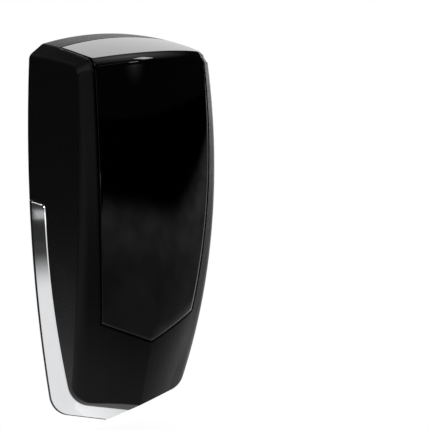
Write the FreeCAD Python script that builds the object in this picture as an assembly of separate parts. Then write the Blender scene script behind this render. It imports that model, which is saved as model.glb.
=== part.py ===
"""Gate photocell: a wall-mounted infrared receiver that guards a gateway.

Millimetres. X runs to the right and Z up. The wall is the plane Y = 0, and the front looks along -Y,
so the depth of a point is its distance in front of the wall. Height zero is halfway up the housing.
"""
import FreeCAD
import Part
import math
import os

V = FreeCAD.Vector

# Housing, seen from the front
HEIGHT = 117.3                # crown of the top to the point of the bottom
BELLY_WIDTH = 46.3            # widest place
BELLY_HEIGHT = 16.4           # height of that place
SIDE_RADIUS = 490.0           # bow of each side
SIDE_DRAFT = 2.15             # degrees that the sides close in towards the front
CROWN_RADIUS = 85.0           # arc of the top
SHOULDER_ANGLE = 35.0         # slope of the band beside the top
BOTTOM_ANGLE = 15.6           # slope of the V at the bottom
BOTTOM_CORNER_RADIUS = 8.0    # between a side and the V

# Housing, seen from the side
TOP_FALL_RADIUS = 230.0       # arc that lowers the top towards the front
BOTTOM_RISE = 24.5            # degrees that the bottom rises towards the front
FRONT_CROWN_HEIGHT = 28.0     # height where the front is deepest
SIDE_EDGE_DEPTH = 30.8        # side edge at that height
SIDE_EDGE_BOTTOM = 9.9        # and where its arc comes down to the bottom
BAND_RISE = 3.2               # the window's edge, in front of the side edge
KEEL_RISE = 4.2               # the middle line, in front of the window's edge
KEEL_SLOPE = 0.19             # how sharp the middle line has become at the bottom
FOLD_RADIUS = 2.5             # rounding between top and front, across the window
SIDE_ROUND_TOP = 0.9          # rounding of the side edge at the top
SIDE_ROUND_BOTTOM = 3.2       # and at the bottom, where the edge softens

# Window
BAND_WIDTH = 5.4              # widest place of its opening, in from the housing's widest place
WINDOW_WIDEST_HEIGHT = 33.3
WINDOW_BOW_RADIUS = 520.0     # bow of its long edges
WINDOW_TIP_HEIGHT = -27.7     # point of its lower end
WINDOW_TIP_ANGLE = 24.5       # slope of that point
WINDOW_REAR_DEPTH = 11.65     # where it ends on the top
WINDOW_THICKNESS = 2.0
WINDOW_GAP = 0.35             # groove all round it
GROOVE_OUTSIDE = 0.12         # part of that groove outside the window's edge line
LEDGE_WIDTH = 1.8             # rim of the cover that carries it
LEDGE_THICKNESS = 1.6

# Cover and trim
COVER_WALL = 2.2
SKIRT_GAP = 0.4               # rear edge of the cover, off the wall
TRIM_WALL = 2.0
TRIM_TOP = 11.6               # upper ends of the trim
TRIM_CORNER = 1.4             # rounding of those ends
TRIM_EDGE = 0.3               # chamfer of its outer edges
TRIM_GAP = 0.15               # between trim and cover
PARTING_DEPTH = 9.5           # front edge of the trim, where it is shallowest
PARTING_HEIGHT = 7.5          # height of that place
PARTING_BOTTOM = 16.2         # where its arc comes down to the bottom
COVER_EDGE = 0.2              # chamfer of the cover along the trim
TONGUE_OVERLAP = 2.8          # inner rim of the cover, in front of the trim's edge

# Base
BASE_PLATE = 2.4
BASE_WALL = 1.8
BASE_WALL_DEPTH = 7.0
BASE_GAP = 0.25               # between the base's rim and what goes round it
FLANGE_THICKNESS = 1.4        # dark edge behind the trim
FLANGE_INSET = 0.15
BACK_RECESS = 0.6             # hollow of the back face
BACK_RIM = 2.8
GASKET_THICKNESS = 1.2
LUG_WIDTH = 12.0              # snap lug at the top
LUG_HEIGHT = 0.9
LUG_DEPTH = 4.0
LUG_THICKNESS = 1.6
LUG_GAP = 0.2

# Wall fixing and cable entry
FIXING_SPACING = 80.0
FIXING_HEIGHT = 5.5           # middle of the two slots
SLOT_WIDTH = 4.4
SLOT_LENGTH = 9.0
CABLE_HEIGHT = -20.5
CABLE_BORE = 6.0
GROMMET_NECK = 10.8
GROMMET_FLANGE = 14.0
GROMMET_FLANGE_THICKNESS = 1.5
GROMMET_REAR_FLANGE = 13.0
GROMMET_REAR_THICKNESS = 0.9
GROMMET_NOSE = 9.0
GROMMET_NOSE_DEPTH = 8.0
GROMMET_GAP = 0.1

# Screws
COVER_SCREW_DEPTH = 12.8      # where it enters the bottom, under the trim
COVER_SCREW_DIAMETER = 2.2
COVER_SCREW_LENGTH = 6.5
COVER_SCREW_HEAD = 4.2
COVER_SCREW_HEAD_HEIGHT = 1.5
BOSS_DIAMETER = 7.2
PAD_DIAMETER = 8.0            # thick place of the cover under that screw's head
PAD_THICKNESS = 1.4
BOARD_SCREW_DIAMETER = 2.1
BOARD_SCREW_LENGTH = 6.0
BOARD_SCREW_HEAD = 4.2
BOARD_SCREW_HEAD_HEIGHT = 1.5
SCREW_FIT = 0.06              # all round a shank in its hole
HEAD_GAP = 0.5                # all round a head in its hole

# Board
BOARD_BOTTOM = -12.5
BOARD_HEIGHT = 50.5
BOARD_THICKNESS = 1.6
BOARD_GAP = 2.0               # to the cover on each side
POST_HEIGHT = 5.6
POST_DIAMETER = 5.5
POST_INSET = 2.9              # post centres, in from the board's edges
PEG_DIAMETER = 2.2
PEG_GAP = 0.1

# Optics
OPTIC_HEIGHT = 16.0
TUBE_DEPTH = 17.4             # from the board to the tube's mouth
TUBE_MOUTH = 19.4
TUBE_BODY = 15.0
TUBE_WALL = 1.2
LENS_DIAMETER = 17.1
LENS_RIM = 1.6
LENS_DOME = 2.6
LENS_GAP = 0.1
DIODE_DIAMETER = 5.0
DIODE_HEIGHT = 8.4
LED_DIAMETER = 3.0
LED_HEIGHT = 5.2
LAMP_RIM = 0.4
LAMP_RIM_THICKNESS = 1.0

# Parts on the board
POLES = 5
POLE_PITCH = 5.0
TERMINAL_DEPTH = 10.0
TERMINAL_HEIGHT = 8.0
TERMINAL_EDGE = 1.0           # above the board's lower edge
TERMINAL_SCREW = 3.0
CLAMP_WIDTH = 3.6
CLAMP_HEIGHT = 4.0
CLAMP_DEPTH = 4.4
CLAMP_FLOOR = 1.6             # plastic under each clamp
PART_SPACE = 1.5              # between neighbours on the board
RELAY_WIDTH = 12.5
RELAY_HEIGHT = 10.5
RELAY_DEPTH = 11.0
CAPACITOR_DIAMETER = 6.3
CAPACITOR_DEPTH = 11.5
BRIDGE_WIDTH = 6.2
BRIDGE_HEIGHT = 8.4
BRIDGE_DEPTH = 3.4
CHIP_WIDTH = 3.9
CHIP_HEIGHT = 4.9
CHIP_DEPTH = 1.5
CHIP_PITCH = 1.27
LEAD_REACH = 1.0
LEAD_WIDTH = 0.42
LEAD_THICKNESS = 0.25
REGULATOR_DIAMETER = 4.6
REGULATOR_DEPTH = 4.7
REGULATOR_FLAT = 1.2
RESISTOR_LENGTH = 3.2
RESISTOR_WIDTH = 1.6
RESISTOR_DEPTH = 0.6
PIN_PITCH = 2.54
PIN_COUNT = 3
PIN_WIDTH = 0.64
PIN_DEPTH = 8.6
HEADER_DEPTH = 2.5
JUMPER_DEPTH = 6.0
JUMPER_GAP = 0.1

# What follows from those sizes
SPARE = 8.0                   # how far tools reach past the housing
ROUND_TILT = 0.26             # radians that the end of an edge's rounding leans off the side
TOP = HEIGHT / 2
BOTTOM = -HEIGHT / 2
RISE = math.radians(BOTTOM_RISE)
LEAN = math.radians(BOTTOM_ANGLE)
BASE_INSET = max(COVER_WALL, TRIM_WALL) + BASE_GAP
RIM_INSET = BASE_INSET + BASE_WALL
SEAL_DEPTH = BASE_WALL_DEPTH + GASKET_THICKNESS
BOARD_REAR = BASE_PLATE + POST_HEIGHT
BOARD_FRONT = BOARD_REAR + BOARD_THICKNESS
BOARD_TOP = BOARD_BOTTOM + BOARD_HEIGHT


def at(x, depth, z):
    """Point at a depth in front of the wall."""
    return V(x, -depth, z)


def bow(crown, radius, distance):
    """Height of an arc at a distance from its crown."""
    return crown - radius + math.sqrt(radius ** 2 - distance ** 2)


def bow_radius(fall, distance):
    """Radius of an arc that falls so far at a distance from its crown."""
    return (distance ** 2 + fall ** 2) / (2 * fall)


def box(x0, x1, depth0, depth1, z0, z1):
    """Block between two widths, depths and heights."""
    return Part.makeBox(x1 - x0, depth1 - depth0, z1 - z0, V(x0, -depth1, z0))


def rod(x, z, diameter, depth0, depth1):
    """Round bar along the depth."""
    return Part.makeCylinder(diameter / 2, depth1 - depth0, at(x, depth0, z), V(0, -1, 0))


def turned(x, z, outline):
    """Solid turned about an axis along the depth, from (radius, depth) corners."""
    points = [at(x + radius, depth, z) for radius, depth in outline]
    face = Part.Face(Part.makePolygon(points + points[:1]))
    return face.revolve(at(x, 0, z), V(0, 1, 0), 360)


def domed(x, z, diameter, depth0, depth1, rim, rim_depth):
    """Lamp body with a flange and a round end."""
    radius = diameter / 2
    flange = rod(x, z, diameter + 2 * rim, depth0, depth0 + rim_depth)
    body = rod(x, z, diameter, depth0, depth1 - radius)
    ball = Part.makeSphere(radius, at(x, depth1 - radius, z))
    return flange.fuse(body).fuse(ball).removeSplitter()


def joined(shapes):
    """One solid from pieces that overlap."""
    whole = shapes[0]
    for shape in shapes[1:]:
        whole = whole.fuse(shape)
    return whole.removeSplitter()


def line(a, b):
    return Part.makeLine(a, b)


def arc(a, b, c):
    return Part.Arc(a, b, c).toShape()


def curve(a, b, c):
    """Curve from a to c that heads for b."""
    bezier = Part.BezierCurve()
    bezier.setPoles([a, b, c])
    return bezier.toShape()


def mirrored(point):
    return V(-point.x, point.y, point.z)


# Housing form
FRONT_RADIUS = bow_radius(SIDE_EDGE_DEPTH - SIDE_EDGE_BOTTOM, FRONT_CROWN_HEIGHT - BOTTOM)
PARTING_RADIUS = bow_radius(PARTING_BOTTOM - PARTING_DEPTH, PARTING_HEIGHT - BOTTOM)


def side_half_width(z, depth):
    """Half the housing's width at a height and a depth."""
    draft = depth * math.tan(math.radians(SIDE_DRAFT))
    return bow(BELLY_WIDTH / 2, SIDE_RADIUS, z - BELLY_HEIGHT) - draft


def window_half_width(z):
    """Half the width between the window's long edges."""
    return bow(BELLY_WIDTH / 2 - BAND_WIDTH, WINDOW_BOW_RADIUS, z - WINDOW_WIDEST_HEIGHT)


def front_lines(z):
    """Depth of the side edge, of the window's edge, of the keel's curve and of the keel."""
    side = bow(SIDE_EDGE_DEPTH, FRONT_RADIUS, z - FRONT_CROWN_HEIGHT)
    edge = side + BAND_RISE
    keel = edge + KEEL_RISE
    fade = max(0.0, (FRONT_CROWN_HEIGHT - z) / (FRONT_CROWN_HEIGHT - BOTTOM))
    control = keel - KEEL_SLOPE * fade ** 2 * window_half_width(z) / 2
    return side, edge, control, keel


def front_section(z, inset):
    """Level cut through the front, from one side to the other."""
    side, edge, control, keel = [depth - inset for depth in front_lines(z)]
    half = window_half_width(z)
    side_x = side_half_width(z, side)
    half = half - inset * math.sin(math.atan2(BAND_RISE, side_x - half))
    side_x = side_x - inset
    share = (TOP - z) / HEIGHT
    size = max(SIDE_ROUND_TOP + (SIDE_ROUND_BOTTOM - SIDE_ROUND_TOP) * share - inset, 0.3)
    along = at(half - side_x, edge - side, 0).normalize()
    outward = at(math.sin(ROUND_TILT), -math.cos(ROUND_TILT), 0)
    corner = at(side_x, side, z) + along * (0.2 * size)
    start = corner + along * size
    end = corner + outward * size
    far = end + outward * ((SPARE - end.y) / math.cos(ROUND_TILT))
    right = [at(0, keel, z), at(half / 2, control, z), at(half, edge, z), start, corner, end, far]
    left = [mirrored(point) for point in right]
    edges = [curve(right[0], right[1], right[2]), line(right[2], right[3])]
    edges += [curve(right[3], right[4], right[5]), line(right[5], right[6])]
    edges += [line(right[6], left[6]), line(left[6], left[5])]
    edges += [curve(left[5], left[4], left[3]), line(left[3], left[2])]
    edges += [curve(left[2], left[1], left[0])]
    return Part.Wire(edges)


def front_solid(inset):
    """All that lies behind the front."""
    reach = HEIGHT / 2 + SPARE / 2
    count = 5
    heights = [reach * (2 * i / (count - 1) - 1) for i in range(count)]
    return Part.makeLoft([front_section(z, inset) for z in heights], True, False)


def outline_wire(depth, inset):
    """Outline of sides and bottom at a depth."""
    tip = BOTTOM + depth * math.tan(RISE) + inset / math.cos(LEAN) / math.cos(RISE)
    corner = max(BOTTOM_CORNER_RADIUS - inset, 0.5)
    radius = SIDE_RADIUS - inset
    draft = depth * math.tan(math.radians(SIDE_DRAFT))
    centre = V(BELLY_WIDTH / 2 - SIDE_RADIUS - draft, 0, BELLY_HEIGHT)
    along = V(math.cos(LEAN), 0, math.sin(LEAN))
    normal = V(-math.sin(LEAN), 0, math.cos(LEAN))
    start = V(0, 0, tip) + normal * corner
    offset = start - centre
    across = offset.dot(along)
    step = math.sqrt(across ** 2 - offset.dot(offset) + (radius - corner) ** 2) - across
    middle = start + along * step
    outward = (middle - centre).normalize()
    on_flank = middle - normal * corner
    between = middle + (outward - normal).normalize() * corner
    on_side = centre + outward * radius
    top_z = TOP + SPARE
    half_z = (top_z + on_side.z) / 2
    belly_x = BELLY_WIDTH / 2 - draft - inset
    half_x = bow(belly_x, radius, half_z - BELLY_HEIGHT)
    top_x = bow(belly_x, radius, top_z - BELLY_HEIGHT)
    profile = [V(0, 0, tip), on_flank, between, on_side, V(half_x, 0, half_z), V(top_x, 0, top_z)]
    right = [at(p.x, depth, p.z) for p in profile]
    left = [mirrored(p) for p in right]
    edges = [line(right[0], right[1]), arc(right[1], right[2], right[3]), arc(right[3], right[4], right[5])]
    edges += [line(right[5], left[5])]
    edges += [arc(left[5], left[4], left[3]), arc(left[3], left[2], left[1]), line(left[1], left[0])]
    return Part.Wire(edges)


def outline_solid(inset, rear):
    """All that lies between the sides and above the bottom."""
    front = SIDE_EDGE_DEPTH + BAND_RISE + KEEL_RISE + SPARE
    return Part.makeLoft([outline_wire(rear, inset), outline_wire(front, inset)], True, True)


def top_height(x, depth, inset=0):
    """Height of the top, between the shoulders."""
    pivot = TOP - TOP_FALL_RADIUS
    reach = bow(TOP - inset, CROWN_RADIUS, x) - pivot
    return pivot + math.sqrt(reach ** 2 - depth ** 2)


def front_depth(x, z):
    """Depth of the front, between the window's edges."""
    side, edge, control, keel = front_lines(z)
    t = 1 - abs(x) / window_half_width(z)
    return edge * (1 - t) ** 2 + 2 * control * t * (1 - t) + keel * t ** 2


def fold_point(x):
    """Where top and front meet, at a distance from the middle."""
    z = TOP
    for step in range(12):
        z = top_height(x, front_depth(x, z))
    return front_depth(x, z), z


def shoulder_half_width():
    """Half the width of the top between its bands, which run on from the window's edges."""
    half = BELLY_WIDTH / 2 - BAND_WIDTH
    for step in range(12):
        half = window_half_width(fold_point(half)[1])
    return half


def top_section(depth, inset):
    """Cut across the top and its bands, closed above them."""
    angle = math.radians(SHOULDER_ANGLE)
    crown_angle = math.asin(SHOULDER / CROWN_RADIUS)
    half = SHOULDER - inset * (math.sin(crown_angle) + math.sin(angle)) / (1 + math.cos(angle - crown_angle))
    shoulder = bow(TOP - inset, CROWN_RADIUS, half)
    size = max(SIDE_ROUND_TOP - inset, 0.3)
    side_x = max(side_half_width(TOP - SPARE / 2, depth) - inset, half + 2 * size)
    side_z = shoulder - (side_x - half) * math.tan(angle)
    along = V(-math.cos(angle), 0, math.sin(angle))
    outward = V(math.sin(ROUND_TILT), 0, -math.cos(ROUND_TILT))
    corner = V(side_x, 0, side_z) + along * (0.2 * size)
    start = corner + along * size
    end = corner + outward * size
    far = end + outward * (2 * SPARE)
    right = [V(half, 0, shoulder), start, corner, end, far, V(far.x, 0, TOP + 2 * SPARE)]
    left = [mirrored(point) for point in right]
    edges = [arc(left[0], V(0, 0, TOP - inset), right[0]), line(right[0], right[1])]
    edges += [curve(right[1], right[2], right[3]), line(right[3], right[4]), line(right[4], right[5])]
    edges += [line(right[5], left[5]), line(left[5], left[4]), line(left[4], left[3])]
    edges += [curve(left[3], left[2], left[1]), line(left[1], left[0])]
    return Part.Wire(edges)


def above_top(inset):
    """All that lies above the top and its bands."""
    pivot = V(0, 0, TOP - TOP_FALL_RADIUS)
    reach = SIDE_EDGE_DEPTH + BAND_RISE + KEEL_RISE + 4 * SPARE
    count = 4
    sections = []
    for i in range(count):
        depth = reach * i / (count - 1) - 2 * SPARE
        section = top_section(depth, inset)
        section.rotate(pivot, V(1, 0, 0), math.degrees(depth / TOP_FALL_RADIUS))
        sections.append(section)
    return Part.makeLoft(sections, True, False)


def fold_section(corner, top_way, front_way, size):
    """Cut that rounds the fold off at one place."""
    on_top = corner + top_way * size
    on_front = corner + front_way * size
    middle = corner + (top_way + front_way).normalize() * (0.45 * size)
    out = (top_way + front_way).normalize() * -size
    far = corner + out * 2
    edges = [arc(on_top, middle, on_front), line(on_front, on_front + out), line(on_front + out, far)]
    edges += [line(far, on_top + out), line(on_top + out, on_top)]
    return Part.Wire(edges)


def fold_cutters():
    """Tools that round the fold off, across the window and across each band."""
    top_way = at(0, -1, 0.15).normalize()
    front_way = at(0, 0.12, -1).normalize()
    count = 5
    places = [SHOULDER * (2 * i / (count - 1) - 1) for i in range(count)]
    sections = []
    for x in places:
        depth, z = fold_point(x)
        sections.append(fold_section(at(x, depth, z), top_way, front_way, FOLD_RADIUS))
    cutters = [Part.makeLoft(sections, True, False)]
    depth, z = fold_point(SHOULDER)
    inner = at(SHOULDER, depth, z)
    side_x = BELLY_WIDTH / 2
    slope_back = BAND_RISE / (side_half_width(z, depth) - SHOULDER)
    slope_down = math.tan(math.radians(SHOULDER_ANGLE))
    outer = inner + at(1, -slope_back, -slope_down) * (side_x - SHOULDER)
    for mirror in (False, True):
        ends = []
        for point, size in ((inner, FOLD_RADIUS), (outer, SIDE_ROUND_TOP)):
            place = mirrored(point) if mirror else point
            ends.append(fold_section(place, top_way, front_way, size))
        cutters.append(Part.makeLoft(ends, True, True))
    return cutters


def form(inset, rear=-SPARE):
    """Housing form, pulled in from its outside by an inset."""
    body = front_solid(inset).common(outline_solid(inset, rear)).cut(above_top(inset))
    return body.Solids[0]


def behind_parting(rear, forward, upper):
    """All that lies behind the trim's front edge and below its upper ends."""
    def edge_depth(z):
        return PARTING_DEPTH + forward - bow(0, PARTING_RADIUS, z - PARTING_HEIGHT)
    low = BOTTOM - SPARE
    wide = -BELLY_WIDTH
    turn = edge_depth(upper - TRIM_CORNER)
    middle = TRIM_CORNER * (1 - math.sqrt(0.5))
    half_z = (low + upper) / 2
    points = [at(wide, rear, low), at(wide, rear, upper), at(wide, turn - TRIM_CORNER, upper)]
    points += [at(wide, turn - middle, upper - middle), at(wide, turn, upper - TRIM_CORNER)]
    points += [at(wide, edge_depth(half_z), half_z), at(wide, edge_depth(low), low)]
    edges = [line(points[0], points[1]), line(points[1], points[2]), arc(points[2], points[3], points[4])]
    edges += [arc(points[4], points[5], points[6]), line(points[6], points[0])]
    return Part.Face(Part.Wire(edges)).extrude(V(2 * BELLY_WIDTH, 0, 0))


def window_prism(grow):
    """Outline of the window, straight through the front, made larger all round."""
    angle = math.radians(WINDOW_TIP_ANGLE)
    tip = WINDOW_TIP_HEIGHT - grow / math.cos(angle)
    corner_z = tip
    for step in range(12):
        corner_z = tip + (window_half_width(corner_z) + grow) * math.tan(angle)
    rear = WINDOW_REAR_DEPTH - grow
    high = TOP + SPARE
    right = [at(0, rear, tip)]
    for z in (corner_z, (corner_z + high) / 2, high):
        right.append(at(window_half_width(z) + grow, rear, z))
    left = [mirrored(point) for point in right]
    edges = [line(right[0], right[1]), arc(right[1], right[2], right[3]), line(right[3], left[3])]
    edges += [arc(left[3], left[2], left[1]), line(left[1], left[0])]
    return Part.Face(Part.Wire(edges)).extrude(V(0, -SIDE_EDGE_DEPTH - 2 * SPARE, 0))


def edges_on(shape, first, second):
    """Edges of a shape that lie on the outsides of two others."""
    found = []
    for edge in shape.Edges:
        middle = Part.Vertex(edge.valueAt((edge.FirstParameter + edge.LastParameter) / 2))
        gaps = [middle.distToShape(other.Shells[0])[0] for other in (first, second)]
        if max(gaps) < 0.005:
            found.append(edge)
    return found


def slab(depth0, depth1):
    """Everything between two depths."""
    return box(-BELLY_WIDTH, BELLY_WIDTH, depth0, depth1, BOTTOM - SPARE, TOP + SPARE)


SHOULDER = shoulder_half_width()
os.makedirs("parts", exist_ok=True)


def save(name, shape):
    """Write one named piece."""
    shape.exportStep("parts/" + name + ".step")
    print(name, shape.ShapeType, len(shape.Solids), shape.isValid(), round(shape.Volume, 1))


def screw_point(distance):
    """Point on the axis of the cover's screw, a distance in from the bottom."""
    ridge = BOTTOM + COVER_SCREW_DEPTH * math.tan(RISE)
    return at(0, COVER_SCREW_DEPTH - distance * math.sin(RISE), ridge + distance * math.cos(RISE))


def screw_bar(diameter, start, end):
    """Round bar along the axis of the cover's screw."""
    way = screw_point(1) - screw_point(0)
    return Part.makeCylinder(diameter / 2, end - start, screw_point(start), way)


# Outer pieces
outer = form(0, 0)
for cutter in fold_cutters():
    outer = outer.cut(cutter)
outer = outer.Solids[0]
window_floor = form(WINDOW_THICKNESS)
rim_inside = form(RIM_INSET)

ir_window = outer.cut(window_floor).common(window_prism(GROOVE_OUTSIDE - WINDOW_GAP))

trim_zone = behind_parting(FLANGE_THICKNESS, 0, TRIM_TOP)
chrome_trim = outer.cut(form(TRIM_WALL)).common(trim_zone).Solids[0]
chrome_trim = chrome_trim.makeChamfer(TRIM_EDGE, edges_on(chrome_trim, outer, trim_zone))

cover_shell = outer.cut(form(COVER_WALL)).common(slab(SKIRT_GAP, SIDE_EDGE_DEPTH + 2 * SPARE))
trim_space = behind_parting(-SPARE, TRIM_GAP, TRIM_TOP + TRIM_GAP)
cover_shell = cover_shell.cut(trim_space).Solids[0]
cover_shell = cover_shell.makeChamfer(COVER_EDGE, edges_on(cover_shell, outer, trim_space))
head_top = (TRIM_WALL + TRIM_GAP) / math.cos(LEAN) + COVER_SCREW_HEAD / 2 * math.tan(LEAN)
head_seat = head_top + COVER_SCREW_HEAD_HEIGHT
pad_end = head_seat + PAD_THICKNESS
pad = screw_bar(PAD_DIAMETER, 0, pad_end).common(form(COVER_WALL - 0.2))
pad = pad.common(slab(SEAL_DEPTH, SIDE_EDGE_DEPTH))
tongue = form(COVER_WALL - 0.2).cut(rim_inside)
tongue = tongue.common(behind_parting(SEAL_DEPTH, TONGUE_OVERLAP, TOP + SPARE))
ledge = form(WINDOW_THICKNESS - 0.2).cut(form(WINDOW_THICKNESS + LEDGE_THICKNESS))
ledge = ledge.common(window_prism(LEDGE_WIDTH).cut(window_prism(-LEDGE_WIDTH)))
front_cover = joined([cover_shell, tongue, pad, ledge])
front_cover = front_cover.cut(trim_space.cut(form(TRIM_WALL + TRIM_GAP)))
front_cover = front_cover.cut(window_prism(GROOVE_OUTSIDE).cut(window_floor))
front_cover = front_cover.cut(window_prism(-LEDGE_WIDTH))
front_cover = front_cover.cut(screw_bar(COVER_SCREW_HEAD + 2 * HEAD_GAP, TRIM_WALL, head_seat))
front_cover = front_cover.cut(screw_bar(COVER_SCREW_DIAMETER + 2 * HEAD_GAP, TRIM_WALL, 2 * SPARE))
lug_top = TOP - BASE_INSET + LUG_HEIGHT
groove_half = LUG_WIDTH / 2 + LUG_GAP
groove_end = LUG_DEPTH + LUG_THICKNESS + LUG_GAP
groove = box(-groove_half, groove_half, LUG_DEPTH - LUG_GAP, groove_end, TOP - SPARE, lug_top + LUG_GAP)
front_cover = front_cover.cut(groove)

# Base
base_outside = form(BASE_INSET)
plate = base_outside.common(slab(0, BASE_PLATE))
rim = base_outside.common(slab(0, BASE_WALL_DEPTH)).cut(rim_inside)
flange = form(FLANGE_INSET).common(slab(0, FLANGE_THICKNESS))
flange = flange.common(box(-BELLY_WIDTH, BELLY_WIDTH, 0, SPARE, BOTTOM - SPARE, TRIM_TOP))
lug_foot = TOP - BASE_INSET - BASE_WALL / 2
lug = box(-LUG_WIDTH / 2, LUG_WIDTH / 2, LUG_DEPTH, LUG_DEPTH + LUG_THICKNESS, lug_foot, lug_top)
boss_start = pad_end + BASE_GAP
screw_end = head_seat + COVER_SCREW_LENGTH
boss_end = screw_end + BASE_WALL
boss = screw_bar(BOSS_DIAMETER, boss_start, boss_end)
foot = screw_point(boss_end)
pillar = box(-BOSS_DIAMETER / 2, BOSS_DIAMETER / 2, BASE_PLATE / 2, -foot.y, BOTTOM, foot.z)
boss = boss.fuse(pillar).common(form(RIM_INSET + BASE_GAP)).common(slab(BASE_PLATE / 2, SIDE_EDGE_DEPTH))
boss = boss.cut(screw_bar(PAD_DIAMETER + 2 * BASE_GAP, 0, boss_start))

board_half = side_half_width(BOARD_BOTTOM, BOARD_FRONT) - RIM_INSET - BOARD_GAP
post_x = board_half - POST_INSET
terminal_low = BOARD_BOTTOM + TERMINAL_EDGE
terminal_high = terminal_low + TERMINAL_HEIGHT
post_low = terminal_high + POST_DIAMETER / 2 + PART_SPACE
post_high = BOARD_TOP - POST_INSET
screw_places = [(-post_x, post_high), (post_x, post_low)]
peg_places = [(post_x, post_high), (-post_x, post_low)]
posts = [rod(x, z, POST_DIAMETER, BASE_PLATE / 2, BOARD_REAR) for x, z in screw_places + peg_places]
pegs = [rod(x, z, PEG_DIAMETER, BASE_PLATE, BOARD_FRONT + PEG_DIAMETER / 2) for x, z in peg_places]
base = joined([plate, rim, flange, lug, boss] + posts + pegs)

neck_hole = GROMMET_NECK + 2 * GROMMET_GAP
flange_hole = GROMMET_REAR_FLANGE + 2 * GROMMET_GAP
slots = []
islands = [rod(0, CABLE_HEIGHT, flange_hole + 2 * BACK_RIM, 0, BACK_RECESS)]
for z in (FIXING_HEIGHT - FIXING_SPACING / 2, FIXING_HEIGHT + FIXING_SPACING / 2):
    reach = (SLOT_LENGTH - SLOT_WIDTH) / 2
    ends = [rod(0, z + side * reach, SLOT_WIDTH, -SPARE, SPARE) for side in (-1, 1)]
    middle = box(-SLOT_WIDTH / 2, SLOT_WIDTH / 2, -SPARE, SPARE, z - reach, z + reach)
    slots.append(joined(ends + [middle]))
    islands.append(rod(0, z, SLOT_LENGTH + BACK_RIM, 0, BACK_RECESS))
recess = form(BASE_INSET + BACK_RIM).common(slab(0, BACK_RECESS))
for island in islands:
    recess = recess.cut(island)
base = base.cut(recess)
for slot in slots:
    base = base.cut(slot)
base = base.cut(rod(0, CABLE_HEIGHT, neck_hole, -SPARE, BASE_PLATE + SPARE))
base = base.cut(rod(0, CABLE_HEIGHT, flange_hole, -SPARE, GROMMET_REAR_THICKNESS))
base = base.cut(screw_bar(COVER_SCREW_DIAMETER + 2 * SCREW_FIT, 0, screw_end + SCREW_FIT))
board_screw_end = BOARD_FRONT - BOARD_SCREW_LENGTH
for x, z in screw_places:
    base = base.cut(rod(x, z, BOARD_SCREW_DIAMETER + 2 * SCREW_FIT, board_screw_end - SCREW_FIT, BOARD_FRONT))

cover_gasket = base_outside.common(slab(BASE_WALL_DEPTH, SEAL_DEPTH)).cut(rim_inside)


def cross_recess(point, way, size):
    """Cross-shaped drive of a screw head, cut in from a point on its face."""
    turn = FreeCAD.Rotation(V(0, 0, 1), way)
    arms = []
    for long, short in ((size, size / 4), (size / 4, size)):
        arm = Part.makeBox(long, short, size, V(-long / 2, -short / 2, -size / 2))
        arms.append(arm)
    cross = arms[0].fuse(arms[1])
    cross.Placement = FreeCAD.Placement(point, turn)
    return cross


cover_screw = screw_bar(COVER_SCREW_HEAD, head_top, head_seat)
cover_screw = cover_screw.fuse(screw_bar(COVER_SCREW_DIAMETER, head_seat, screw_end)).removeSplitter()
cover_screw = cover_screw.cut(cross_recess(screw_point(head_top), screw_point(1) - screw_point(0), 2.0))

neck_front = BASE_PLATE
flange_front = neck_front + GROMMET_FLANGE_THICKNESS
cable_grommet = turned(0, CABLE_HEIGHT, [
    (CABLE_BORE / 2, GROMMET_GAP), (GROMMET_REAR_FLANGE / 2, GROMMET_GAP),
    (GROMMET_REAR_FLANGE / 2, GROMMET_REAR_THICKNESS), (GROMMET_NECK / 2, GROMMET_REAR_THICKNESS),
    (GROMMET_NECK / 2, neck_front), (GROMMET_FLANGE / 2, neck_front),
    (GROMMET_FLANGE / 2, flange_front), (GROMMET_NOSE / 2, flange_front),
    (GROMMET_NOSE / 2, GROMMET_NOSE_DEPTH), (CABLE_BORE / 2, GROMMET_NOSE_DEPTH)])

# Board and optics
circuit_board = box(-board_half, board_half, BOARD_REAR, BOARD_FRONT, BOARD_BOTTOM, BOARD_TOP)
board_screws = []
for x, z in screw_places:
    hole = BOARD_SCREW_DIAMETER + 2 * PEG_GAP
    circuit_board = circuit_board.cut(rod(x, z, hole, BOARD_REAR - 1, BOARD_FRONT + 1))
    head_end = BOARD_FRONT + BOARD_SCREW_HEAD_HEIGHT
    shank = rod(x, z, BOARD_SCREW_DIAMETER, board_screw_end, BOARD_FRONT)
    head = rod(x, z, BOARD_SCREW_HEAD, BOARD_FRONT, head_end)
    screw = shank.fuse(head).removeSplitter()
    board_screws.append(screw.cut(cross_recess(at(x, head_end, z), V(0, 1, 0), 2.0)))
for x, z in peg_places:
    circuit_board = circuit_board.cut(rod(x, z, PEG_DIAMETER + 2 * PEG_GAP, BOARD_REAR - 1, BOARD_FRONT + 1))

mouth = BOARD_FRONT + TUBE_DEPTH
seat = mouth - LENS_RIM - LENS_GAP
bore = LENS_DIAMETER / 2 + LENS_GAP
collar = seat - TUBE_WALL
body = TUBE_BODY / 2
optic_tube = turned(0, OPTIC_HEIGHT, [
    (body, BOARD_FRONT), (body, collar), (TUBE_MOUTH / 2, collar), (TUBE_MOUTH / 2, mouth),
    (bore, mouth), (bore, seat), (body - TUBE_WALL, seat), (body - TUBE_WALL, BOARD_FRONT)])

lens_radius = LENS_DIAMETER / 2
dome_radius = (lens_radius ** 2 + LENS_DOME ** 2) / (2 * LENS_DOME)
lens_rim_end = seat + LENS_RIM
lens_dome = Part.makeSphere(dome_radius, at(0, lens_rim_end + LENS_DOME - dome_radius, OPTIC_HEIGHT))
lens_body = rod(0, OPTIC_HEIGHT, LENS_DIAMETER, seat, lens_rim_end + LENS_DOME)
collimator_lens = lens_body.common(lens_dome)

photodiode = domed(0, OPTIC_HEIGHT, DIODE_DIAMETER, BOARD_FRONT, BOARD_FRONT + DIODE_HEIGHT,
                   LAMP_RIM, LAMP_RIM_THICKNESS)

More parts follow.
